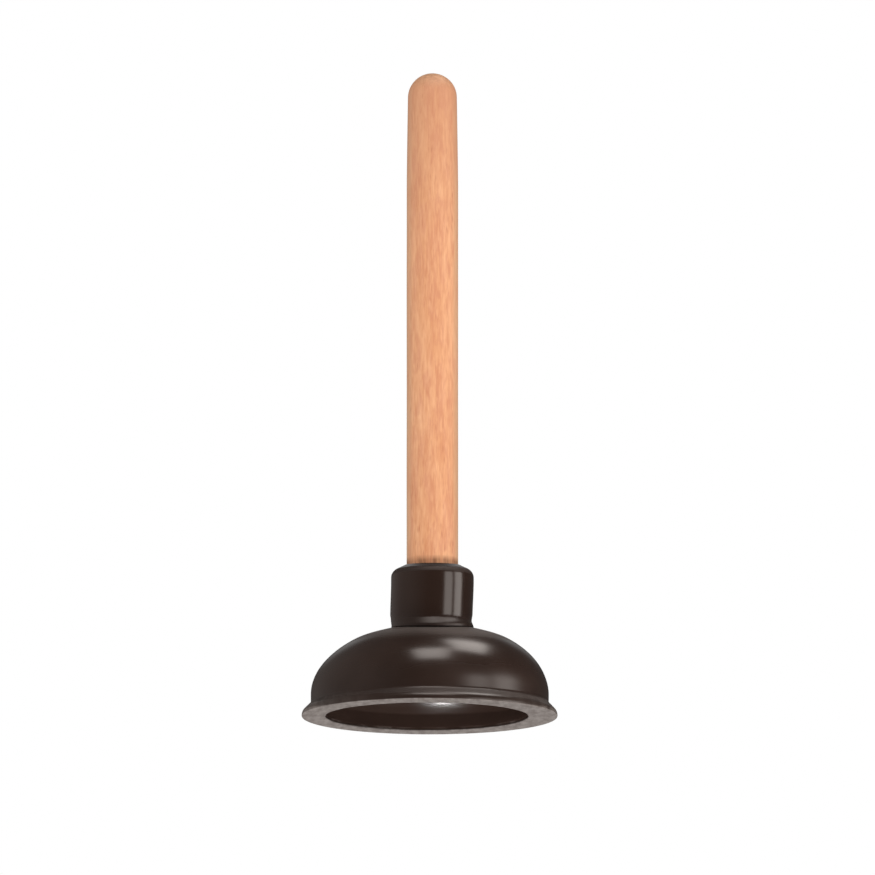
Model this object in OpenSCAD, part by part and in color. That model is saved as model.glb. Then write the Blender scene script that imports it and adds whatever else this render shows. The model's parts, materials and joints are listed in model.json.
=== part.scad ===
// Sink and drain plunger: a turned wooden handle screwed into a moulded rubber force cup.
// Millimetres. The rim rests on z = 0 and the handle rises along +Z.

/* [Handle] */
// Diameter of the wooden handle above the cup
handle_d = 20.5; // [20:0.1:20.8]
// Whole length of the wooden handle, from its plain tip to its rounded end
handle_len = 228.6; // [150:0.1:320]
// Radius of the half-round end of the handle
handle_end_r = 9.8; // [8.5:0.1:9.8]
// Length over which the shaft narrows toward its rounded end
handle_taper_len = 36; // [20:1:60]

// Diameter of the seat below the shaft, turned down so that the shaft stops on the collar
seat_d = 20; // [19.6:0.1:20.1]

/* [Screw] */
// Lift of the handle for one turn, five threads to the inch
pitch = 5.08; // [4.6:0.01:5.6]
// Turns of thread cut on the handle
thread_turns = 3.5; // [3:0.25:3.75]
// Radius of the turned core between the threads
core_r = 8; // [7.6:0.1:8.2]
// Radius over the thread crests
crest_r = 9.6; // [9.2:0.1:9.7]
// Axial width of the thread at its crest
crest_w = 1.1; // [0.8:0.1:1.3]
// Axial width of the thread at its root
root_w = 2.5; // [2:0.1:2.7]
// Clearance between the wooden thread and the moulded one
thread_gap = 0.3; // [0.28:0.01:0.35]
// Length of the plain tip below the thread
tip_len = 5; // [4:0.1:6]
// Radius of the plain tip
tip_r = 7.4; // [6.5:0.1:7.5]
// Chamfer on the end of the plain tip
tip_chamfer = 1; // [0.4:0.1:2]

/* [Collar] */
// Outer diameter of the straight collar
collar_d = 32.7; // [30:0.1:34]
// Height of the top of the collar above the rim
collar_top = 61.3; // [60:0.1:64]
// Slope of the chamfer round the top of the collar, below level
chamfer_angle = 27; // [24:1:32]
// Radius of the shoulder between the chamfer and the straight wall
corner_r = 4.3; // [3:0.1:4.5]
// Radius at which the chamfer ends, at the mouth of the socket
mouth_land_r = 11; // [10.9:0.1:11.4]
// Clearance round the handle's seat at the mouth of the socket
mouth_gap = 0.1; // [0.05:0.01:0.3]
// Height of the top of the shallow groove round the foot of the collar
groove_top = 41; // [40:0.1:42]
// Height of the bottom of that groove, where it meets the dome
groove_foot = 36.3; // [36:0.1:36.6]
// Depth of that groove
groove_depth = 0.3; // [0.2:0.1:0.6]
// Height of the floor of the blind socket above the rim
socket_floor = 30.7; // [29:0.1:32]
// Rubber left under the socket floor
floor_t = 4; // [3:0.5:6]
// Radius of the underside of the boss inside the cup
boss_r = 13.8; // [12:0.1:15]

/* [Dome] */
// Outer radius of the dome wall where it stands straight
dome_r = 47.2; // [46:0.1:48]
// Height of the centre of the dome's ellipse above the rim
dome_z = 8.9; // [8.5:0.1:10]
// Rise of the dome's outer ellipse above its centre
dome_rise = 28.7; // [27:0.1:30]
// Thickness of the dome wall
wall = 4.5; // [3.5:0.1:5]

/* [Rim] */
// Outer radius of the flared rim
rim_r = 50.9; // [50:0.1:53]
// Radius of the open mouth inside the rim
mouth_r = 40.35; // [39:0.05:41]
// Radius of the corner between the sealing face and the edge of the rim
rim_edge_r = 0.5; // [0.2:0.1:0.6]
// Height at which the edge of the rim starts to round over
rim_edge_z = 0.6; // [0.6:0.1:1]
// Radius of the rounded top of that edge
rim_top_r = 3; // [2:0.1:3.2]
// Lean of the flare, away from upright
flare_angle = 45; // [38:1:46]
// Radius of the hollow where the flare leaves the wall
hollow_r = 1.6; // [0.8:0.1:2]
// Height of the upright inner edge of the mouth
mouth_lip = 1.2; // [0.8:0.1:2]
// Bevel at the foot of that edge
mouth_bevel = 0.5; // [0.2:0.1:0.7]

/* [Hidden] */
arc_steps = 28;
corner_steps = 8;
thread_steps = 20;
seam = 0.1;
tip_gap = 0.05;
shoulder_gap = 0.5;
shaft_gap = 0.1;
over = 1;
root_sink = 0.5;
lead_turns = 0.5;
runout_turns = 0.75;
groove_turns = lead_turns + thread_turns + 1;
tip_z = socket_floor + tip_gap;
handle_top = tip_z + handle_len;
thread_z = tip_z + tip_len;
ridge_z = thread_z + root_w / 2;
seat_z = thread_z + (thread_turns + runout_turns) * pitch;
shaft_top = handle_top - handle_end_r;
taper_z = shaft_top - handle_taper_len;
bore_r = core_r + thread_gap;
shaft_z = collar_top + shaft_gap;
mouth_bore_r = seat_d / 2 + mouth_gap;
collar_r = collar_d / 2;
dome_hole_r = collar_r + seam;
rim_top_x = rim_r - rim_top_r * (1 - cos(flare_angle));
hollow_x = dome_r + hollow_r * (1 - cos(flare_angle));
flare_z = rim_edge_z + (rim_top_r + hollow_r) * sin(flare_angle)
    + (rim_top_x - hollow_x) / tan(flare_angle);
rubber = [0.2, 0.15, 0.13];
wood = [0.87, 0.64, 0.47];
$fn = 96;

// Height of an ellipse of half-width a and rise b, centred at dome_z, at radius r
function ellipse_z(a, b, r) = dome_z + b * sqrt(1 - pow(r / a, 2));

// Angle on such an ellipse at which its radius is r
function ellipse_angle(a, r) = acos(r / a);

// Points along an ellipse from one angle to another
function ellipse_arc(a, b, from, to) = [for (i = [0:arc_steps])
    let (t = from + (to - from) * i / arc_steps) [a * cos(t), dome_z + b * sin(t)]];

// Points along a circle of radius r about (x, y)
function circle_arc(x, y, r, from, to, steps) = [for (i = [0:steps])
    let (t = from + (to - from) * i / steps) [x + r * cos(t), y + r * sin(t)]];

// Cross-section of the thread at step i, grown by g on every side, its root sunk to radius sunk_r
function thread_section(i, g, sunk_r) =
    let (t = 360 * i / thread_steps, z = pitch * i / thread_steps)
    [for (p = [[sunk_r, -root_w / 2 - g], [crest_r + g, -crest_w / 2 - g],
            [crest_r + g, crest_w / 2 + g], [sunk_r, root_w / 2 + g]])
        [p[0] * cos(t), p[0] * sin(t), z + p[1]]];

// A helical ridge of the given number of turns, climbing from z = 0
module thread_ridge(turns, g, sunk_r) {
    n = round(turns * thread_steps);
    points = [for (i = [0:n]) each thread_section(i, g, sunk_r)];
    sides = [for (i = [0:n - 1]) for (k = [0:3])
        let (a = 4 * i + k, b = 4 * i + (k + 1) % 4)
        each [[a, b, b + 4], [a, b + 4, a + 4]]];
    start_cap = [[0, 2, 1], [0, 3, 2]];
    end_cap = [for (f = start_cap) [4 * n + f[0], 4 * n + f[2], 4 * n + f[1]]];
    polyhedron(points = points, faces = concat(sides, start_cap, end_cap));
}

// The rim: a flat sealing face, a low rounded edge, and a flare that leans in to meet the wall
module cup_rim() {
    color(rubber)
    rotate_extrude()
    polygon(concat(
        [[mouth_r + mouth_bevel, 0]],
        circle_arc(rim_r - rim_edge_r, rim_edge_r, rim_edge_r, -90, 0, corner_steps),
        circle_arc(rim_r - rim_top_r, rim_edge_z, rim_top_r, 0, flare_angle, corner_steps),
        circle_arc(dome_r + hollow_r, flare_z, hollow_r, 180 + flare_angle, 180, corner_steps),
        [[dome_r - wall, flare_z], [mouth_r, mouth_lip], [mouth_r, mouth_bevel]]
    ));
}

// The dome: the thin wall that flexes between the rim and the collar
module cup_dome() {
    inner_r = dome_r - wall;
    inner_rise = dome_rise - wall;
    color(rubber)
    rotate_extrude()
    polygon(concat(
        [[dome_r, flare_z]],
        ellipse_arc(dome_r, dome_rise, 0, ellipse_angle(dome_r, dome_hole_r)),
        ellipse_arc(inner_r, inner_rise, ellipse_angle(inner_r, dome_hole_r), 0),
        [[inner_r, flare_z]]
    ));
}

// The collar: the thick neck of the cup, with a shallow groove round its foot and a blind socket
// moulded to the handle's thread
module cup_collar() {
    boss_z = socket_floor - floor_t;
    neck_z = ellipse_z(dome_r - wall, dome_rise - wall, dome_hole_r);
    corner_z = collar_top - (corner_r + sin(chamfer_angle) * (collar_r - corner_r - mouth_land_r))
        / cos(chamfer_angle);
    thread_start_z = ridge_z - lead_turns * pitch;
    shoulder_z = seat_z - shoulder_gap;
    half_h = (groove_top - groove_foot) / 2;
    groove_r = (half_h * half_h + groove_depth * groove_depth) / (2 * groove_depth);
    groove_turn = asin(half_h / groove_r);
    color(rubber)
    difference() {
        rotate_extrude()
        polygon(concat(
            [[0, boss_z], [boss_r, boss_z], [collar_r, neck_z]],
            circle_arc(collar_r - groove_depth + groove_r, groove_foot + half_h, groove_r,
                180 + groove_turn, 180 - groove_turn, corner_steps),
            circle_arc(collar_r - corner_r, corner_z, corner_r, 0, 90 - chamfer_angle, corner_steps),
            [[mouth_land_r, collar_top], [0, collar_top]]
        ));
        translate([0, 0, socket_floor])
        cylinder(r = bore_r, h = collar_top - socket_floor + over);
        translate([0, 0, shoulder_z])
        cylinder(r = mouth_bore_r, h = collar_top - shoulder_z + over);
        translate([0, 0, thread_start_z])
        rotate([0, 0, -360 * lead_turns])
        thread_ridge(groove_turns, thread_gap, bore_r - 2 * root_sink);
    }
}

// The plain tip of the wooden handle, below its thread
module handle_tip() {
    color(wood)
    translate([0, 0, tip_z])
    rotate_extrude()
    polygon([[0, 0], [tip_r - tip_chamfer, 0], [tip_r, tip_chamfer],
        [tip_r, tip_len - tip_gap], [0, tip_len - tip_gap]]);
}

// The wooden handle: a threaded end, a seat, a plain shaft that narrows a little, and a half-round end
module handle() {
    color(wood)
    union() {
        translate([0, 0, thread_z])
        cylinder(r = core_r, h = seat_z - thread_z + over);
        translate([0, 0, ridge_z])
        thread_ridge(thread_turns, 0, core_r - root_sink);
        translate([0, 0, seat_z])
        cylinder(d = seat_d, h = shaft_z - seat_z);
        translate([0, 0, shaft_z])
        cylinder(d = handle_d, h = taper_z - shaft_z);
        translate([0, 0, taper_z])
        cylinder(r1 = handle_d / 2, r2 = handle_end_r, h = handle_taper_len);
        translate([0, 0, shaft_top])
        sphere(r = handle_end_r);
    }
}

cup_rim();
cup_dome();
cup_collar();
handle_tip();
handle();
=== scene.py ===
import json
import math

import bmesh
import bpy
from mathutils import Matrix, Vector, noise


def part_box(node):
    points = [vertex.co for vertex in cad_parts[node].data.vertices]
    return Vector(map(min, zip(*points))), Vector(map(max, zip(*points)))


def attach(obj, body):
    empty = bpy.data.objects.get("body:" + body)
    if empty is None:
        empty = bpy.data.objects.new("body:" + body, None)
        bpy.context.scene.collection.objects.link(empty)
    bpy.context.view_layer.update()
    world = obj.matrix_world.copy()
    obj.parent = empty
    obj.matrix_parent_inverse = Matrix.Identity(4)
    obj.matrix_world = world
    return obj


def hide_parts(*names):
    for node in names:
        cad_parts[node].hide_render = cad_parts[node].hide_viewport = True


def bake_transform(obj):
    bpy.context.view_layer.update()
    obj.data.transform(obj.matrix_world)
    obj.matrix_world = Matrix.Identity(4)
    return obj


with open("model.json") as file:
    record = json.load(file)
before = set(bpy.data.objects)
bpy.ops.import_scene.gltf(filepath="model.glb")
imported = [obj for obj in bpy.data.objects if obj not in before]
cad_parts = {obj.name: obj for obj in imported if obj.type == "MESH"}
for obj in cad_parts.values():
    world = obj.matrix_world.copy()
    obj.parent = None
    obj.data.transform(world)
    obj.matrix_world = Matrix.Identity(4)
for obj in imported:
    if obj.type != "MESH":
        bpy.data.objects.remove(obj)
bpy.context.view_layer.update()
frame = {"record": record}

MM = 0.001
TAU = 2 * math.pi

# Sizes of the CAD model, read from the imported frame.
RIM_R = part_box("cup_rim")[1].x
RIM_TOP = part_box("cup_rim")[1].z
DOME_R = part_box("cup_dome")[1].x
COLLAR_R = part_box("cup_collar")[1].x
COLLAR_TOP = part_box("cup_collar")[1].z
BOSS_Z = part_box("cup_collar")[0].z
HANDLE_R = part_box("handle")[1].x
HANDLE_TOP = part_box("handle")[1].z
THREAD_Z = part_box("handle")[0].z
TIP_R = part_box("handle_tip")[1].x
TIP_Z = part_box("handle_tip")[0].z
PITCH = frame["record"]["behaviour"]["couplings"][0]["ratio"] * TAU

# Sizes inside the boxes, the same as the CAD model's.
DOME_Z = 8.9 * MM
DOME_RISE = 28.7 * MM
WALL = 4.5 * MM
MOUTH_R = 40.35 * MM
MOUTH_BEVEL = 0.5 * MM
BOSS_R = 13.8 * MM
SOCKET_FLOOR = BOSS_Z + 4 * MM
CORE_R = 8 * MM
CREST_R = 9.6 * MM
CREST_W = 1.1 * MM
ROOT_W = 2.5 * MM
THREAD_TURNS = 3.5
LEAD_TURNS = 0.5
RUNOUT_TURNS = 0.75
THREAD_GAP = 0.3 * MM
LAND_R = 11 * MM
CHAMFER_ANGLE = 27
SHOULDER_R = 4.3 * MM
GROOVE_FOOT = 36.3 * MM
GROOVE_TOP = 41 * MM
GROOVE_DEPTH = 0.3 * MM
RIM_EDGE_R = 0.5 * MM
RIM_EDGE_Z = 0.6 * MM
RIM_TOP_R = 3 * MM
FLARE_ANGLE = 45
HOLLOW_R = 1.6 * MM
END_R = 9.8 * MM
TAPER_LEN = 36 * MM
TIP_GAP = 0.05 * MM
RIDGE_Z = THREAD_Z + ROOT_W / 2
SHANK_Z = THREAD_Z + (THREAD_TURNS + RUNOUT_TURNS) * PITCH
SHOULDER_Z = SHANK_Z - 0.5 * MM

# Points closer together than this count as one, and so do the radii of one wall.
SAME = 0.02 * MM

# Edges between faces that meet more sharply than this stay sharp.
SHARP = math.radians(50)


# ---------------------------------------------------------------- curves and turned shapes

def share(value, start, end):
    """How far a value has come from start to end, held between 0 and 1."""
    return min(max((value - start) / (end - start), 0.0), 1.0)


def ramp(value, start, end):
    """The same, but easing in and out."""
    t = share(value, start, end)
    return t * t * (3 - 2 * t)


def arc(cx, cz, rx, rz, start, end, steps):
    """Points on an ellipse about (cx, cz), from one angle to another, in degrees."""
    angles = [math.radians(start + (end - start) * i / steps) for i in range(steps + 1)]
    return [(cx + rx * math.cos(a), cz + rz * math.sin(a)) for a in angles]


def rounded(corners, steps=5):
    """A path through corners (r, z, radius), each corner with a radius turned into a curve."""
    path = []
    for i, (r, z, radius) in enumerate(corners):
        p = Vector((r, z))
        if radius <= 0 or i in (0, len(corners) - 1):
            path.append((r, z))
            continue
        before = Vector(corners[i - 1][:2]) - p
        after = Vector(corners[i + 1][:2]) - p
        angle = before.angle(after)
        run = min(radius / math.tan(angle / 2), 0.48 * before.length, 0.48 * after.length)
        a, b = p + before.normalized() * run, p + after.normalized() * run
        for k in range(steps + 1):
            t = k / steps
            path.append(tuple(a * (1 - t) ** 2 + p * 2 * t * (1 - t) + b * t ** 2))
    return path


def spaced(path, step):
    """The path with points added, so that no two are further apart than step."""
    out = [path[0]]
    for (r0, z0), (r1, z1) in zip(path, path[1:]):
        parts = max(1, math.ceil(math.hypot(r1 - r0, z1 - z0) / step))
        out += [(r0 + (r1 - r0) * k / parts, z0 + (z1 - z0) * k / parts) for k in range(1, parts + 1)]
    return out


def even_angles(count):
    return [TAU * i / count for i in range(count)]


def add_object(name, data):
    obj = bpy.data.objects.new(name, data)
    bpy.context.scene.collection.objects.link(obj)
    return obj


def revolve(name, path, angles, move=None, closed=False):
    """A mesh made by turning a path of (r, z) points about Z. A point on the axis becomes a single pole,
    move(r, a, z) may shift each of the others, and closed joins the end of the path to its start."""
    verts, rows = [], []
    for r, z in path:
        if r < SAME:
            rows.append([len(verts)])
            verts.append((0.0, 0.0, z))
            continue
        row = []
        for a in angles:
            moved_r, moved_z = move(r, a, z) if move else (r, z)
            row.append(len(verts))
            verts.append((moved_r * math.cos(a), moved_r * math.sin(a), moved_z))
        rows.append(row)
    faces = []
    pairs = list(zip(rows, rows[1:])) + ([(rows[-1], rows[0])] if closed else [])
    for low, high in pairs:
        for i in range(len(angles)):
            j = (i + 1) % len(angles)
            if len(low) == 1:
                faces.append((low[0], high[j], high[i]))
            elif len(high) == 1:
                faces.append((low[i], low[j], high[0]))
            else:
                faces.append((low[i], low[j], high[j], high[i]))
    mesh = bpy.data.meshes.new(name)
    mesh.from_pydata(verts, [], faces)
    mesh.validate()
    mesh.polygons.foreach_set("use_smooth", [True] * len(mesh.polygons))
    mesh.update()
    return add_object(name, mesh)


def outward(obj):
    """Turns every face outward and marks the true corners sharp."""
    bm = bmesh.new()
    bm.from_mesh(obj.data)
    bmesh.ops.recalc_face_normals(bm, faces=bm.faces)
    bm.to_mesh(obj.data)
    bm.free()
    obj.data.set_sharp_from_angle(angle=SHARP)
    return obj


# ---------------------------------------------------------------- the rubber cup

# Two mould seams run up the sides of the cup.
SEAMS = (0.0, math.pi)
SEAM_WIDTH = 0.30 * MM
SEAM_HEIGHT = 0.06 * MM

# How uneven the moulding is: its wall, its lip in and out, its lip up and down, and the edge of its mouth.
WALL_SWELL = 0.10 * MM
WALL_SLOW_SWELL = 0.14 * MM
LIP_SWELL = 0.22 * MM
LIP_RIPPLE = 0.16 * MM
MOUTH_SWELL = 0.20 * MM

# How the cup sits askew: its dome and the collar's foot lie to the left of the handle, its mouth lies
# further left, and the collar's top and foot are drawn down at the front.
LEAN = 1.05 * MM
NECK_LEAN = 0.5 * MM
MOUTH_LEFT = 1.15 * MM
COLLAR_DIP = 1.0 * MM
FOOT_DIP = 1.9 * MM

# The collar's foot steps out over the dome, most of all on this side.
FOOT_SIDE = math.radians(-88)
FOOT_OUT = 1.9 * MM
FOOT_START = 36.0 * MM
FOOT_LOW = 37.0 * MM
FOOT_HIGH = 39.9 * MM

# Where the skin and the socket meet, out of sight: round the boss in the cup, and inside the collar.
SKIN_INNER_R = 15.4 * MM
SLEEVE_SKIN_R = 15.0 * MM
SLEEVE_SKIN_Z = 33.2 * MM
SLEEVE_R = 14.9 * MM
SLEEVE_Z = 33.4 * MM
MOUTH_DEPTH = 2.6 * MM

# The inner face of the dome lies wholly below this height, and the outer one wholly outside this radius.
INNER_TOP = 32 * MM
OUTER_R = COLLAR_R - 0.9 * MM


def from_seam(a):
    """The angle between a direction and the nearest mould seam."""
    return min(abs(math.remainder(a - seam, TAU)) for seam in SEAMS)


def seam_angles(count):
    """Even angles round the cup, with close ones added either side of the two mould seams."""
    steps = (0, 0.15, 0.35, 0.6, 0.9, 1.2, 1.6)
    near = [seam + math.radians(sign * step) for seam in SEAMS for step in steps for sign in (-1, 1)]
    far = [a for a in even_angles(count) if from_seam(a) > math.radians(1.7)]
    return sorted({round(a % TAU, 9) for a in near + far})


def dome_inner(z):
    """Inner radius of the dome wall at a height."""
    up = min(1.0, max(0.0, z - DOME_Z) / (DOME_RISE - WALL))
    return (DOME_R - WALL) * math.sqrt(1 - up * up)


def on_collar_wall(r):
    return abs(r - COLLAR_R) < SAME


def foot_bent(a):
    """How much of the bend at the collar's foot shows at an angle: all of it in front, none at the back."""
    return max(0.0, math.cos(a - FOOT_SIDE)) ** 1.5


def foot_shape(a, z):
    """How far the collar's foot is spread: it steps out where the cup is bent, and is grooved elsewhere."""
    out = share(z, FOOT_HIGH, FOOT_LOW)
    bent = foot_bent(a)
    groove = math.sin(math.pi * share(z, GROOVE_FOOT, GROOVE_TOP))
    return FOOT_OUT * bent * (0.7 * out + 0.3 * ramp(out, 0, 1)) - GROOVE_DEPTH * (1 - bent) * groove


def noise_round(a, size, seed):
    """Noise along a circle, so that it closes on itself. A larger circle has more swells."""
    return noise.noise(Vector((math.cos(a) * size, math.sin(a) * size, seed)))


def wall_swell(r, a, z):
    """Slow swells in the wall, fading out toward the rim and toward the top of the collar."""
    at = Vector((r * math.cos(a), r * math.sin(a), z))
    swell = WALL_SWELL * noise.noise(at * 42 + Vector((3.1, 7.7, 1.3)))
    swell += WALL_SLOW_SWELL * noise.noise(at * 21 + Vector((9.4, 2.2, 5.8)))
    return swell * ramp(z, 2 * MM, 8 * MM) * ramp(z, 60 * MM, 54 * MM)


def seam_rise(r, a, z):
    """The fine ridge of a mould seam, on the outside of the cup only."""
    outside = r > OUTER_R and (z > INNER_TOP or r > dome_inner(z) + 2 * MM)
    if not outside or z <= 1.5 * MM:
        return 0.0
    return SEAM_HEIGHT * max(0.0, 1 - from_seam(a) * r / SEAM_WIDTH) ** 0.8


def moulded(r, a, z):
    """Moves a point of the true turned cup to where it lies on the cup in the photograph."""
    dr, dz = wall_swell(r, a, z) + seam_rise(r, a, z), 0.0
    if z < 5 * MM and r > DOME_R:
        lip = ramp(r, DOME_R, RIM_R)
        dr += LIP_SWELL * lip * noise_round(a, 2.3, 4.0)
        dz += LIP_RIPPLE * lip * ramp(z, 0, 1.2 * MM) * noise_round(a, 4, 8.0)
    if z < 1.3 * MM and r < MOUTH_R + 1 * MM:
        dr += MOUTH_SWELL * noise_round(a, 6, 2.0)
    near_mouth = ramp(z, 8.5 * MM, 1.5 * MM) * ramp(r, MOUTH_R + 7.4 * MM, MOUTH_R + 2.4 * MM)
    dr -= MOUTH_LEFT * math.cos(a) * near_mouth
    if on_collar_wall(r):
        dr += foot_shape(a, z)
    toward_front = (1 - math.sin(a)) / 2
    if r > OUTER_R:
        near_foot = ramp(z, 30 * MM, 35.5 * MM) * ramp(z, 49 * MM, 41 * MM)
        dz -= FOOT_DIP * toward_front ** 3 * near_foot
    dz -= COLLAR_DIP * toward_front ** 1.5 * ramp(z, 56 * MM, 61 * MM)
    return r + dr, z + dz


def lean(z):
    """How far the dome and the collar's foot are set to the left of the handle."""
    neck = ramp(z, 36 * MM, 38.5 * MM) * ramp(z, 56 * MM, 38 * MM)
    return LEAN * ramp(z, 38 * MM, 12 * MM) + NECK_LEAN * neck


def leaning(obj):
    for v in obj.data.vertices:
        v.co.x -= lean(v.co.z)
    return obj


def cup_profile():
    """Once round the section of the cup's skin: down the outside, across its face and up the inside."""
    top = COLLAR_TOP
    chamfer = math.radians(CHAMFER_ANGLE)
    shoulder_r = COLLAR_R - SHOULDER_R
    shoulder_z = top - (SHOULDER_R + math.sin(chamfer) * (shoulder_r - LAND_R)) / math.cos(chamfer)
    mouth = rounded([
        (HANDLE_R, top - MOUTH_DEPTH, 0), (HANDLE_R, top, 0.3 * MM), (LAND_R, top, 0.45 * MM),
        (shoulder_r + SHOULDER_R * math.sin(chamfer), shoulder_z + SHOULDER_R * math.cos(chamfer), 0)])
    shoulder = arc(shoulder_r, shoulder_z, SHOULDER_R, SHOULDER_R, 90 - CHAMFER_ANGLE, 0, 16)
    neck = spaced([(COLLAR_R, shoulder_z), (COLLAR_R, FOOT_HIGH)], 1.2 * MM)
    foot = spaced([(COLLAR_R, FOOT_HIGH), (COLLAR_R, FOOT_START)], 0.25 * MM)
    start = math.degrees(math.acos((COLLAR_R + 0.05 * MM) / DOME_R))
    dome = arc(0, DOME_Z, DOME_R, DOME_RISE, start, 0, 64)
    hollow = arc(DOME_R + HOLLOW_R, RIM_TOP, HOLLOW_R, HOLLOW_R, 180, 180 + FLARE_ANGLE, 8)
    edge_top = arc(RIM_R - RIM_TOP_R, RIM_EDGE_Z, RIM_TOP_R, RIM_TOP_R, FLARE_ANGLE, 0, 12)
    edge_foot = arc(RIM_R - RIM_EDGE_R, RIM_EDGE_R, RIM_EDGE_R, RIM_EDGE_R, 0, -90, 6)
    inner_r = DOME_R - WALL
    face = rounded([
        (RIM_R - RIM_EDGE_R, 0.0, 0), (MOUTH_R, 0.0, MOUTH_BEVEL), (MOUTH_R, 1.5 * MM, 1.2 * MM),
        (inner_r, 6.9 * MM, 2.5 * MM), (inner_r, DOME_Z, 0)], 7)
    end = math.degrees(math.acos(SKIN_INNER_R / inner_r))
    inside = arc(0, DOME_Z, inner_r, DOME_RISE - WALL, 0, end, 40)
    hidden = [(SLEEVE_SKIN_R, SLEEVE_SKIN_Z), (SLEEVE_SKIN_R, shoulder_z), (12 * MM, top - MOUTH_DEPTH)]
    path = []
    for part in (mouth, shoulder, neck, foot, dome, hollow, edge_top, edge_foot, face, inside, hidden):
        path += [p for p in part if not path or math.dist(p, path[-1]) > SAME]
    return path


def cup_zones(r, a, z):
    """What the cup's surface is like at a point: how much it is dusty sealing face, worn edge, dust with a
    painted sheen on the dome's top, dulled outer skin and inner wall painted paler as painted light."""
    sideways = abs(r * math.cos(a)) / RIM_R
    face = ramp(z, 0.55 * MM, 0.15 * MM) * ramp(r, MOUTH_R - 0.2 * MM, MOUTH_R + 0.2 * MM)
    reach = (0.5 + 1.9 * sideways ** 6) * MM
    edge = ramp(z, reach, reach - 0.7 * MM) * ramp(r, RIM_R - 1.5 * MM, RIM_R - 0.7 * MM)
    dust = 0.45 * sideways ** 3 * ramp(z, 7 * MM, 5 * MM) * ramp(r, DOME_R, DOME_R + 1 * MM)
    off_collar = ramp(r, COLLAR_R + SAME, COLLAR_R + SAME + 0.3 * MM)
    # Dust on the dome's top, partly painted sheen: a lighter colour standing in for a soft reflection there.
    dust_and_sheen = 0.38 * ramp(z, 26 * MM, 33 * MM) * off_collar
    flare = ramp(z, 2.7 * MM, 3.2 * MM) * ramp(z, 5.4 * MM, 4.9 * MM)
    dome_top = ramp(z, 26 * MM, 32 * MM) * off_collar
    shoulder = ramp(z, 56.4 * MM, 57.2 * MM) * ramp(z, 59.6 * MM, 58.8 * MM)
    dome = (0.07 + 0.11 * ramp(z, 20 * MM, 12 * MM)) * off_collar
    foot = foot_bent(a) * ramp(z, FOOT_HIGH + 0.4 * MM, FOOT_HIGH - 0.6 * MM) if on_collar_wall(r) else 0.0
    dulled = max(dome, 0.6 * flare, 0.55 * dome_top, 0.7 * shoulder, 0.42 * foot)
    inner = r < dome_inner(z) + 1.2 * MM and z < INNER_TOP
    inside = ramp(z, 0.5 * MM, 1.5 * MM) if inner else 0.0
    return {"sealing_face": face, "worn_edge": max(edge, dust), "dust_and_sheen": dust_and_sheen, "dulled": dulled,
            "inside": inside}


def make_cup():
    """The outer and inner skin of the cup, with its zones stored on its points."""
    path, angles = spaced(cup_profile(), 1.6 * MM), seam_angles(216)
    cup = outward(leaning(revolve("cup_skin", path, angles, moulded, closed=True)))
    zones = [cup_zones(r, a, z) for r, z in path for a in angles]
    for name in zones[0]:
        attribute = cup.data.attributes.new(name, "FLOAT", "POINT")
        attribute.data.foreach_set("value", [zone[name] for zone in zones])
    return cup


# ---------------------------------------------------------------- the screw

FADE_TURNS = 0.3


def thread_height(a, z, widen):
    """How far up the thread's side a point lies, 0 at the core and 1 on the crest, when the thread is made
    wider by widen on both sides. The wooden thread, which isn't widened, fades out at its ends."""
    turn = a / TAU
    along = turn + round((z - RIDGE_Z) / PITCH - turn)
    dz = abs(z - RIDGE_Z - along * PITCH)
    height = share(dz, ROOT_W / 2 + widen, CREST_W / 2 + widen)
    if widen:
        return height if along > -LEAD_TURNS else 0.0
    return height * ramp(along, 0, FADE_TURNS) * ramp(along, THREAD_TURNS, THREAD_TURNS - FADE_TURNS)


def make_socket():
    """The rubber inside the collar: the boss in the cup, the blind socket and its moulded thread."""
    bore = CORE_R + THREAD_GAP
    depth = CREST_R - CORE_R
    outer = rounded([
        (0, BOSS_Z, 0), (BOSS_R, BOSS_Z, 1.2 * MM), (SKIN_INNER_R - 0.05 * MM, 31.4 * MM, 0.6 * MM),
        (SLEEVE_R, SLEEVE_Z, 0.5 * MM), (SLEEVE_R, COLLAR_TOP - 6 * MM, 0),
        (HANDLE_R, COLLAR_TOP - 3 * MM, 0), (HANDLE_R, SHOULDER_Z, 0), (bore, SHOULDER_Z, 0)])
    wall = spaced([(bore, SHOULDER_Z - 0.01 * MM), (bore, SOCKET_FLOOR + 0.5 * MM)], 0.3 * MM)
    floor = [(bore - 0.4 * MM, SOCKET_FLOOR), (0, SOCKET_FLOOR)]

    def cut(r, a, z):
        on_wall = abs(r - bore) < 0.01 * MM and z < SHOULDER_Z - 0.005 * MM
        return (r + depth * thread_height(a, z, THREAD_GAP) if on_wall else r), z

    path = spaced(outer, 2 * MM) + wall + floor
    return outward(revolve("cup_socket", path, even_angles(144), cut))


# ---------------------------------------------------------------- the wooden handle

# How far the sanded dowel is from round: along its length, and at its rounded end.
SHAFT_SWELL = 0.045 * MM
END_SWELL = 0.16 * MM

# The taper toward the end is slow at first.
TAPER_STEPS = 12
TAPER_CURVE = 1.3


def turned(r, a, z):
    """Moves a point of the true handle to where sanding by hand has left it."""
    along = Vector((r * math.cos(a), r * math.sin(a), z * 0.3)) * 90 + Vector((5, 1, 2))
    dr = SHAFT_SWELL * noise.noise(along) * ramp(z, SHANK_Z, SHANK_Z + 3 * MM)
    near_end = ramp(z, HANDLE_TOP - 13 * MM, HANDLE_TOP - 7 * MM)
    dr += END_SWELL * noise_round(a, 1.6, z * 160) * near_end * min(1.0, r / END_R)
    return r + dr, z


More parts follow.
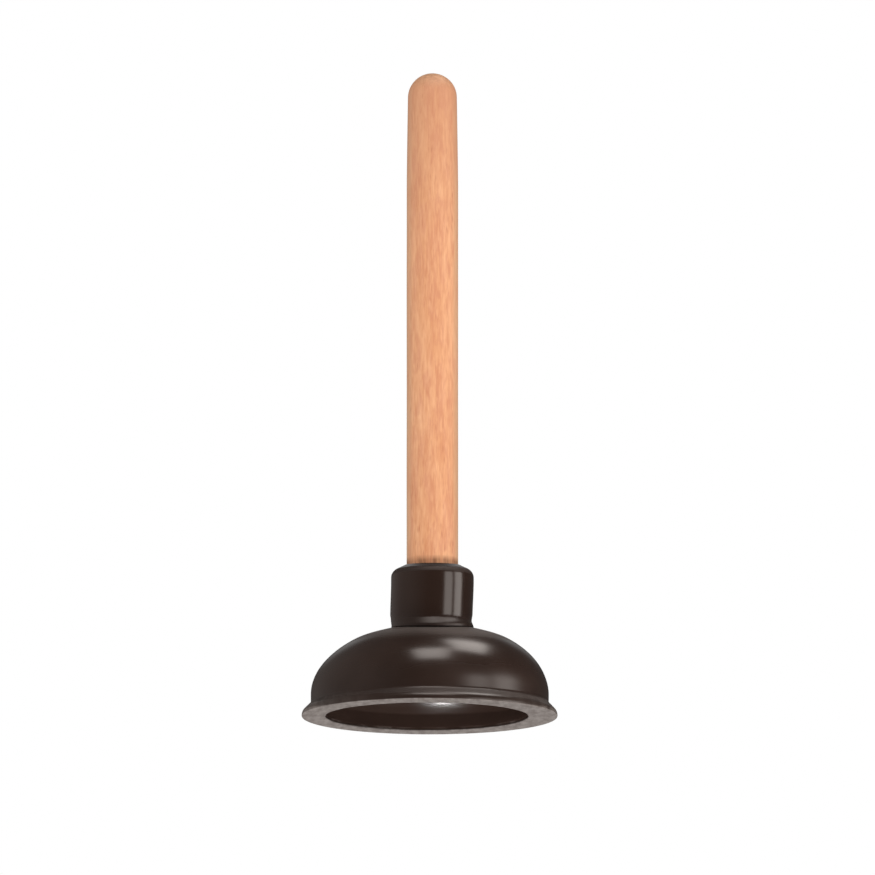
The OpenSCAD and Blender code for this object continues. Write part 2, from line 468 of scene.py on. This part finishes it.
def make_handle():
    """The wooden handle: its screw, its shank, a plain shaft, a taper and a half-round end."""
    shaft_top = HANDLE_TOP - END_R
    taper_z = shaft_top - TAPER_LEN
    edge = 0.7 * MM
    start = [(0, THREAD_Z), (CORE_R - 0.4 * MM, THREAD_Z)]
    core = spaced([(CORE_R, THREAD_Z + 0.4 * MM), (CORE_R, SHANK_Z - 0.35 * MM)], 0.28 * MM)
    shank = rounded([
        (CORE_R, SHANK_Z, 0), (HANDLE_R - edge, SHANK_Z, 0.2 * MM),
        (HANDLE_R, SHANK_Z + edge, 0.4 * MM), (HANDLE_R, taper_z, 0)])
    along = [k / TAPER_STEPS for k in range(1, TAPER_STEPS + 1)]
    taper = [(HANDLE_R + (END_R - HANDLE_R) * t ** TAPER_CURVE, taper_z + TAPER_LEN * t) for t in along]
    end = arc(0, shaft_top, END_R, END_R, 0, 88, 26)[1:] + [(0, HANDLE_TOP)]

    def cut(r, a, z):
        if abs(r - CORE_R) < 0.01 * MM and z < SHANK_Z - 0.3 * MM:
            return r + (CREST_R - CORE_R) * thread_height(a, z, 0), z
        return turned(r, a, z)

    path = start + core + spaced(shank, 4 * MM) + taper + end
    return outward(revolve("handle_wood", path, even_angles(144), cut))


def make_tip():
    """The plain tip of the handle, below its screw."""
    top = THREAD_Z - TIP_GAP
    path = rounded([(0, TIP_Z, 0), (TIP_R, TIP_Z, 1.1 * MM), (TIP_R, top, 0.15 * MM), (0, top, 0)])
    return outward(revolve("handle_end", path, even_angles(96)))


# ---------------------------------------------------------------- materials

class Graph:
    """A short way to add shader nodes to a material, a light or the world, and to join them. An input goes
    by its name, or by the letter i and its number."""

    def __init__(self, owner):
        owner.use_nodes = True
        self.tree = owner.node_tree

    def put(self, node, **inputs):
        for key, value in inputs.items():
            numbered = key[0] == "i" and key[1:].isdigit()
            socket = node.inputs[int(key[1:]) if numbered else key.replace("_", " ")]
            if isinstance(value, bpy.types.NodeSocket):
                self.tree.links.new(value, socket)
            else:
                socket.default_value = value

    def add(self, kind, out=0, props=None, **inputs):
        node = self.tree.nodes.new(kind)
        for key, value in (props or {}).items():
            setattr(node, key, value)
        self.put(node, **inputs)
        return node.outputs[out]

    def object_point(self):
        return self.add("ShaderNodeTexCoord", out=3)

    def place(self, scale, move=(0, 0, 0)):
        return self.add("ShaderNodeMapping", Vector=self.object_point(), Scale=scale, Location=move)

    def noise(self, vector, detail=3.0, rough=0.5, distort=0.0):
        return self.add("ShaderNodeTexNoise", Vector=vector, Scale=1.0, Detail=detail, Roughness=rough,
                        Distortion=distort)

    def part(self, vector, axis):
        return self.add("ShaderNodeSeparateXYZ", out=axis, i0=vector)

    def remap(self, value, low, high, to_low=0.0, to_high=1.0, props=None):
        return self.add("ShaderNodeMapRange", props=props, Value=value, i1=low, i2=high, i3=to_low,
                        i4=to_high)

    def maths(self, how, a, b=0.5):
        return self.add("ShaderNodeMath", props={"operation": how}, i0=a, i1=b)

    def times(self, a, b):
        return self.maths("MULTIPLY", a, b)

    def blend(self, factor, a, b):
        """Between two values."""
        return self.add("ShaderNodeMix", i0=factor, i2=a, i3=b)

    def mix(self, factor, a, b):
        """Between two colours."""
        return self.add("ShaderNodeMix", out=2, props={"data_type": "RGBA"}, i0=factor, i6=a, i7=b)

    def bump(self, height, strength, distance):
        return self.add("ShaderNodeBump", Height=height, Strength=strength, Distance=distance)


def rgb(r, g, b):
    """An sRGB colour, 0 to 255, as the linear colour that a shader takes."""
    def line(c):
        c /= 255
        return c / 12.92 if c <= 0.04045 else ((c + 0.055) / 1.055) ** 2.4
    return (line(r), line(g), line(b), 1.0)


WOOD_DARK, WOOD_LIGHT = rgb(221, 156, 113), rgb(237, 177, 134)
WOOD_BLOTCH = rgb(211, 143, 111)
WOOD_STREAK = rgb(205, 134, 94)
WOOD_RING = rgb(205, 136, 92)
WOOD_FIBRE = rgb(247, 192, 147)
WOOD_PORE = rgb(178, 104, 72)
# Paler, greyer colour for the dowel's sides: painted edge shade.
WOOD_EDGE_SHADE = rgb(203, 167, 134)
WOOD_HELD = rgb(192, 136, 106)
# Dirt and painted contact shade where the handle enters the collar.
WOOD_GRIME_AND_SHADE = rgb(108, 68, 44)
END_GRAIN_DARK, END_GRAIN_LIGHT = rgb(174, 134, 102), rgb(218, 171, 130)

RUBBER_DARK, RUBBER_LIGHT = rgb(38, 25, 19), rgb(46, 32, 26)
# The cup's inside, painted paler than the outer rubber as painted light.
PAINTED_LIT_INSIDE_DARK, PAINTED_LIT_INSIDE_LIGHT = rgb(70, 53, 46), rgb(82, 64, 56)
FACE_DARK, FACE_LIGHT = rgb(127, 117, 112), rgb(158, 149, 144)
FACE_SCUFF = rgb(112, 102, 97)
# Dust, and a painted sheen on the dome's top.
RUBBER_DUST_AND_SHEEN = rgb(124, 113, 107)


def new_material(name):
    """A material, its node graph and its main shader."""
    material = bpy.data.materials.new(name)
    graph = Graph(material)
    return material, graph, graph.tree.nodes["Principled BSDF"]


def wood_material():
    """Light sanded wood: broad patches, streaks, growth rings and fibres along the dowel, short dark pores,
    sides painted paler and greyer as painted edge shade, a darker worn end, and dirt with painted contact
    shade where the handle enters the collar."""
    material, g, shader = new_material("turned_wood")
    broad = g.noise(g.place((110, 110, 16)), detail=2)
    blotch = g.noise(g.place((250, 250, 62), (3, 6, 1)), rough=0.62, distort=0.6)
    streak = g.noise(g.place((600, 600, 85), (2, 1, 0)), rough=0.62, distort=0.5)
    fibre = g.noise(g.place((1500, 1500, 170), (4, 3, 1)), detail=2, rough=0.6)
    across = g.place((1, 1, 0.12), (0.046, -0.021, 0))
    bend = g.noise(g.place((60, 60, 6), (1, 5, 3)), detail=1)
    radius = g.add("ShaderNodeVectorMath", out=1, props={"operation": "LENGTH"}, i0=across)
    phase = g.maths("ADD", g.times(radius, 2600.0), g.times(bend, 9.0))
    ring = g.remap(g.maths("SINE", phase), -1.0, 1.0)

    pore_at = g.place((800, 800, 190), (7, 2, 0))
    pore_cell = g.add("ShaderNodeTexVoronoi", Vector=pore_at, Scale=1.0, Randomness=1.0)
    pore = g.remap(pore_cell, 0.06, 0.36, 1.0, 0.0)
    patch = g.remap(g.noise(g.place((200, 200, 34), (8, 8, 8)), detail=2), 0.50, 0.66)
    fleck = g.times(pore, patch)

    colour = g.mix(g.remap(broad, 0.30, 0.72), WOOD_DARK, WOOD_LIGHT)
    colour = g.mix(g.times(g.remap(blotch, 0.44, 0.60), 0.6), colour, WOOD_BLOTCH)
    colour = g.mix(g.times(g.remap(streak, 0.42, 0.66), 0.5), colour, WOOD_STREAK)
    colour = g.mix(g.times(ring, 0.08), colour, WOOD_RING)
    colour = g.mix(g.times(g.remap(fibre, 0.45, 0.72), 0.38), colour, WOOD_FIBRE)
    colour = g.mix(g.times(fleck, 0.5), colour, WOOD_PORE)

    x, z = [g.part(g.object_point(), axis) for axis in (0, 2)]
    # Painted edge shade: the dowel's sides across x are painted paler and greyer.
    edge_shade = g.remap(g.maths("ABSOLUTE", x), 0.76 * HANDLE_R, 0.97 * HANDLE_R, 0.0, 0.7)
    edge_shade = g.times(edge_shade, g.remap(blotch, 0.35, 0.6, 1.0, 0.5))
    colour = g.mix(edge_shade, colour, WOOD_EDGE_SHADE)
    held = g.remap(z, HANDLE_TOP - 70 * MM, HANDLE_TOP - 4 * MM, 0.0, 0.5)
    colour = g.mix(held, colour, WOOD_HELD)
    end = g.remap(z, HANDLE_TOP - 7 * MM, HANDLE_TOP - 1 * MM)
    speck = g.noise(g.place((620, 620, 900), (3, 3, 9)), rough=0.65)
    end_grain = g.mix(g.remap(speck, 0.38, 0.62), END_GRAIN_DARK, END_GRAIN_LIGHT)
    colour = g.mix(g.times(end, 0.65), colour, end_grain)
    # Dirt and painted contact shade darken the wood where it enters the collar.
    at_collar = g.remap(z, COLLAR_TOP + 0.4 * MM, COLLAR_TOP + 2.5 * MM, 0.9, 0.0)
    grime_and_shade = g.times(at_collar, g.remap(streak, 0.30, 0.62, 1.0, 0.35))
    colour = g.mix(grime_and_shade, colour, WOOD_GRIME_AND_SHADE)

    height = g.maths("SUBTRACT", g.times(fibre, 0.5), fleck)
    rough = g.remap(streak, 0.3, 0.7, 0.42, 0.56)
    g.put(shader, Base_Color=colour, Roughness=rough, Normal=g.bump(height, 0.35, 0.08 * MM),
          Specular_IOR_Level=0.14)
    return material


def rubber_material(name, with_zones):
    """Dark brown-black rubber, faintly clouded and pitted. With zones it also shows what cup_zones says:
    dust and wear on the sealing face and the rim, dust with a painted sheen on the dome's top, and an inside
    painted paler as painted light."""
    material, g, shader = new_material(name)
    cloud = g.noise(g.place((38, 38, 38)), rough=0.55)
    fine = g.noise(g.place((900, 900, 900), (1, 2, 3)), rough=0.6)
    pit = g.noise(g.place((260, 260, 260), (6, 3, 2)), detail=2)
    height = g.maths("ADD", g.times(fine, 0.4), g.times(pit, 0.6))
    inner = g.mix(g.remap(cloud, 0.3, 0.7), PAINTED_LIT_INSIDE_DARK, PAINTED_LIT_INSIDE_LIGHT)
    if with_zones:
        face, worn, dust_and_sheen, dulled, inside = [
            g.add("ShaderNodeAttribute", out=2, props={"attribute_name": zone})
            for zone in ("sealing_face", "worn_edge", "dust_and_sheen", "dulled", "inside")]
        mottle = g.noise(g.place((340, 120, 120), (2, 2, 2)), rough=0.6)
        scuff = g.noise(g.place((800, 300, 300), (5, 1, 4)), rough=0.7)
        dusty = g.mix(g.remap(mottle, 0.38, 0.62), FACE_DARK, FACE_LIGHT)
        dusty = g.mix(g.times(g.remap(scuff, 0.50, 0.75), 0.4), dusty, FACE_SCUFF)
        rubbed = g.times(worn, g.remap(mottle, 0.35, 0.65, 0.15, 0.8))
        dust_sheen_film = g.times(dust_and_sheen, g.remap(cloud, 0.3, 0.7, 0.75, 1.2))
        colour = g.mix(g.remap(cloud, 0.3, 0.7), RUBBER_DARK, RUBBER_LIGHT)
        # The inside wall is painted paler than the outer rubber, as painted light.
        colour = g.mix(inside, colour, inner)
        colour = g.mix(rubbed, colour, RUBBER_DUST_AND_SHEEN)
        # Dust and a painted sheen on the dome's top.
        colour = g.mix(dust_sheen_film, colour, RUBBER_DUST_AND_SHEEN)
        colour = g.mix(face, colour, dusty)
        rough = g.maths("ADD", g.remap(cloud, 0.3, 0.7, 0.15, 0.20), g.times(dulled, 0.68))
        rough = g.blend(inside, rough, 0.34)
        rough = g.blend(face, rough, 0.62)
    else:
        # The socket takes the same paler inside colour, as painted light.
        colour, rough = inner, 0.32
    g.put(shader, Base_Color=colour, Roughness=rough, Normal=g.bump(height, 0.22, 0.06 * MM),
          Specular_IOR_Level=0.36)
    return material


def paint(obj, material):
    obj.data.materials.clear()
    obj.data.materials.append(material)


# ---------------------------------------------------------------- light, floor and camera

VIEW_DOWN = math.radians(8.64)
PICTURE_WIDTH = 0.34806
CAMERA_DISTANCE = 10.0
AIM_RIGHT = 2.03 * MM
AIM_UP = 111.1 * MM

WHITE = (1, 1, 1, 1)
WARM_GREY = (1, 0.93, 0.89, 1)
FLOOR_GREY = (0.86, 0.86, 0.86, 1)

# How bright the surround is on a surface, and in its gloss: above, to the left above, below in front and
# below behind.
WORLD_FILL = 0.55
GLOSS_ABOVE = 0.08
GLOSS_LEFT = 0.36
GLOSS_FRONT = 0.15
GLOSS_BEHIND = 0.65

FLOOR_SIZE = 14.0
FLOOR_Z = -0.4 * MM

# The point inside the cup that the glint in its mouth comes from.
GLINT_AT = (4.6 * MM, 42.4 * MM, 16 * MM)


def make_camera():
    """The photograph looks up at the cup from a little below its rim, through a long lens."""
    ahead = Vector((0, math.cos(VIEW_DOWN), math.sin(VIEW_DOWN)))
    up = Vector((0, -math.sin(VIEW_DOWN), math.cos(VIEW_DOWN)))
    data = bpy.data.cameras.new("camera")
    data.sensor_width = 36
    data.lens = data.sensor_width * CAMERA_DISTANCE / PICTURE_WIDTH
    camera = add_object("camera", data)
    camera.location = Vector((AIM_RIGHT, 0, 0)) + up * AIM_UP - ahead * CAMERA_DISTANCE
    camera.rotation_mode = "QUATERNION"
    camera.rotation_quaternion = ahead.to_track_quat("-Z", "Y")
    bpy.context.scene.camera = camera


def soften(light, across, along):
    """Fades a panel light toward its edges, over these shares of its half width and half height."""
    g = Graph(light)
    place = g.add("ShaderNodeNewGeometry", out=5)
    fades = []
    for axis, width in ((0, across), (1, along)):
        off = g.maths("ABSOLUTE", g.maths("SUBTRACT", g.part(place, axis), 0.5))
        easing = {"interpolation_type": "SMOOTHSTEP"}
        fades.append(g.remap(off, 0.5, 0.5 - 0.5 * width, props=easing))
    g.put(g.tree.nodes["Emission"], Strength=g.times(*fades))


def panel(name, azimuth, elevation, wide, high, glow, distance=1.3, aim=(0, 0, 50 * MM), use="both",
          spread=180, soft=None, tint=(1, 1, 1)):
    """A soft panel light, placed by the direction it shines from. Azimuth is to the right of the camera,
    wide and high are the angles it fills, in degrees, and glow is its brightness. use says whether it lights
    a surface (fill), shows in its gloss (gloss), or does both."""
    a, e = math.radians(azimuth), math.radians(elevation)
    toward = Vector((math.sin(a) * math.cos(e), -math.cos(a) * math.cos(e), math.sin(e)))
    data = bpy.data.lights.new(name, "AREA")
    data.shape = "RECTANGLE"
    data.size = 2 * distance * math.tan(math.radians(wide / 2))
    data.size_y = 2 * distance * math.tan(math.radians(high / 2))
    data.energy = glow * math.pi * data.size * data.size_y
    data.spread = math.radians(spread)
    data.color = tint
    if soft:
        soften(data, *soft)
    light = add_object(name, data)
    light.location = toward * distance + Vector(aim)
    light.rotation_mode = "QUATERNION"
    light.rotation_quaternion = toward.to_track_quat("Z", "Y")
    light.visible_camera = False
    light.visible_diffuse = use != "gloss"
    light.visible_glossy = use != "fill"


def make_world():
    """A white surround behind the object. Its light on a surface is even. In gloss it is dim above and
    bright below and behind, as over a white table."""
    world = bpy.data.worlds.new("surround")
    bpy.context.scene.world = world
    world.cycles.sampling_method = "NONE"
    g = Graph(world)
    toward = g.add("ShaderNodeTexCoord")
    left = g.remap(g.part(toward, 0), -0.2, -0.9, GLOSS_ABOVE, GLOSS_LEFT)
    behind = g.remap(g.part(toward, 1), -0.3, 0.6, GLOSS_FRONT, GLOSS_BEHIND)
    below = g.remap(g.part(toward, 2), 0.0, -0.11)
    gloss = g.add("ShaderNodeBackground", Color=WARM_GREY, Strength=g.blend(below, left, behind))
    fill = g.add("ShaderNodeBackground", Color=WHITE, Strength=WORLD_FILL)
    seen = g.add("ShaderNodeBackground", Color=WHITE, Strength=1.0)
    in_gloss = g.add("ShaderNodeLightPath", out=3)
    in_view = g.add("ShaderNodeLightPath")
    lit = g.add("ShaderNodeMixShader", i0=in_gloss, i1=fill, i2=gloss)
    both = g.add("ShaderNodeMixShader", i0=in_view, i1=lit, i2=seen)
    g.put(g.tree.nodes["World Output"], Surface=both)


def make_floor():
    """A plain pale floor, under the rim. It shows only from above, as the photograph looks up past it."""
    mesh = bpy.data.meshes.new("floor")
    corners = [(-1, -1), (1, -1), (1, 1), (-1, 1)]
    mesh.from_pydata([(x * FLOOR_SIZE, y * FLOOR_SIZE, FLOOR_Z) for x, y in corners], [], [(0, 1, 2, 3)])
    floor = add_object("floor", mesh)
    for rays in ("diffuse", "glossy", "transmission", "shadow"):
        setattr(floor, "visible_" + rays, False)
    material, g, shader = new_material("pale_floor")
    g.put(shader, Base_Color=FLOOR_GREY, Roughness=0.9, Specular_IOR_Level=0.0)
    from_below = g.add("ShaderNodeNewGeometry", out=6)
    clear = g.add("ShaderNodeBsdfTransparent")
    both = g.add("ShaderNodeMixShader", i0=from_below, i1=shader.outputs[0], i2=clear)
    g.put(g.tree.nodes["Material Output"], Surface=both)
    mesh.materials.append(material)


def make_lights():
    """The gloss lights give the highlights of the photograph their places; the fills light the surfaces."""
    warm = (1, 0.93, 0.88)
    gloss = {"use": "gloss", "tint": warm}
    panel("window_right_front", 47, 2, 28, 42, 4.3, soft=(0.35, 0.7), **gloss)
    panel("window_right", 78, 4, 28, 42, 5.2, soft=(0.3, 0.7), **gloss)
    panel("overhead_front", 4, 71, 27, 33, 6.8, soft=(0.35, 0.4), **gloss)
    panel("overhead_right", 112, 68, 32, 26, 6.7, soft=(0.4, 0.4), **gloss)
    panel("backdrop_above", 180, 27, 50, 26, 0.34, soft=(0.6, 0.6), use="gloss")
    panel("mouth_glint", -15, -18, 5, 3.5, 2.3, distance=0.25, aim=GLINT_AT, use="gloss", spread=3)
    fill = {"use": "fill", "distance": 8}
    panel("key", 45, 30, 60, 50, 2.0, tint=(1, 0.97, 0.93), **fill)
    panel("front_fill", -20, -35, 60, 50, 0.9, tint=(1, 0.98, 0.96), **fill)
    panel("right_fill", 50, -45, 60, 50, 0.5, tint=(1, 0.98, 0.96), **fill)
    panel("left_fill", -75, 10, 60, 60, 0.68, tint=(0.95, 1, 1.05), **fill)


# ---------------------------------------------------------------- build

def main():
    bpy.context.scene.view_settings.view_transform = "Standard"
    make_camera()
    make_world()
    make_floor()
    make_lights()

    wood = wood_material()
    cup = make_cup()
    socket = make_socket()
    handle = make_handle()
    tip = make_tip()
    paint(cup, rubber_material("moulded_rubber", True))
    paint(socket, rubber_material("socket_rubber", False))
    paint(handle, wood)
    paint(tip, wood)
    handle.visible_glossy = False

    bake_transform(cup)
    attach(socket, "collar")
    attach(handle, "handle")
    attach(tip, "handle_tip")
    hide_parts("cup_rim", "cup_dome")
    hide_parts("cup_collar")
    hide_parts("handle")
    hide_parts("handle_tip")


main()
